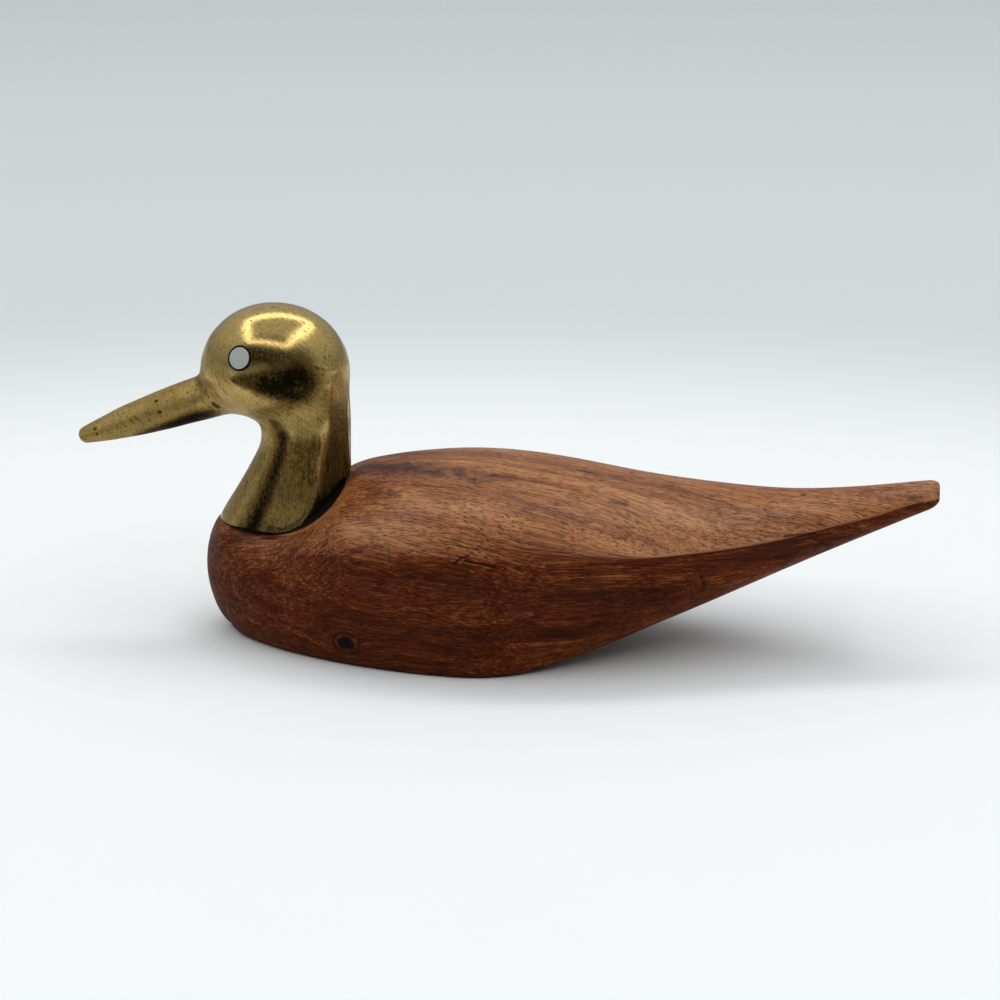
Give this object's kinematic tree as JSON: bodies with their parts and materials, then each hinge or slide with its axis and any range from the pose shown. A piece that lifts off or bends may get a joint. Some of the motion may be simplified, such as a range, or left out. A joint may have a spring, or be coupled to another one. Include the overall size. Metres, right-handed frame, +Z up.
{
  "type": "duck decoy",
  "caption": "Carved hardwood duck ornament with a cast brass head, neck and bill seated in a sawn notch, inlaid shell eyes and a flat base to stand on.",
  "frame": {"origin": "on the standing surface, under the middle of the duck's length and width", "axes": "+X towards the tail (the duck faces -X), +Y towards the duck's right side, +Z up"},
  "size_m": [0.2539, 0.089, 0.099],
  "materials": {
    "oiled_wood": "oiled reddish-brown hardwood, satin, with fine open pores",
    "aged_brass": "satin, aged, with file marks and fine casting pits",
    "white_shell": "polished white shell",
    "black_compound": "dull black setting compound",
    "plated_steel": "dull zinc plating"
  },
  "bodies": {
    "root": {"wood_body": "oiled_wood", "brass_head": "aged_brass", "neck_bedding": "black_compound", "eye_left": "white_shell", "eye_right": "white_shell", "eye_bedding_left": "black_compound", "eye_bedding_right": "black_compound", "neck_screw": "plated_steel", "neck_washer": "plated_steel"}
  },
  "joints": []
}
